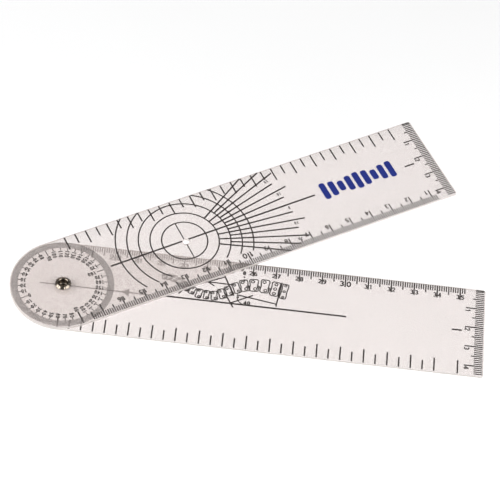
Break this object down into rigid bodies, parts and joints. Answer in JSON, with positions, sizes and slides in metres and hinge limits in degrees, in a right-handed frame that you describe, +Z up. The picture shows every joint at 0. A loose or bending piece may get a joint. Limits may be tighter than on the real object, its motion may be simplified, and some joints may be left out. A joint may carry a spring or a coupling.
{
  "type": "goniometer",
  "caption": "Flat plastic goniometer: a round-ended arm with a printed degree dial turns on a rivet over a matching ruler arm, to measure joint and spinal angles.",
  "frame": {"origin": "on the rivet's axis, at the flat underside of the rivet's head, which is what the tool lies on", "axes": "+X along the lower arm from the rivet to its square end, +Z up along the rivet from its head to its rolled end, +Y to the left of the lower arm, the side that the upper arm opens to"},
  "size_m": [0.2041, 0.1352, 0.0037],
  "materials": {
    "lower_arm_plastic": "milky translucent sheet, satin",
    "upper_arm_plastic": "milky translucent sheet, satin",
    "rivet_metal": "nickel-plated steel, slightly dulled"
  },
  "bodies": {
    "lower_arm": {"lower_arm": "lower_arm_plastic", "pivot_rivet": "rivet_metal"},
    "upper_arm": {"upper_arm": "upper_arm_plastic"}
  },
  "joints": [
    {"name": "arm_turn", "type": "hinge", "parent": "lower_arm", "child": "upper_arm", "pos_m": [0, 0, 0.0024], "axis": [0, 0, 1], "continuous": true}
  ]
}
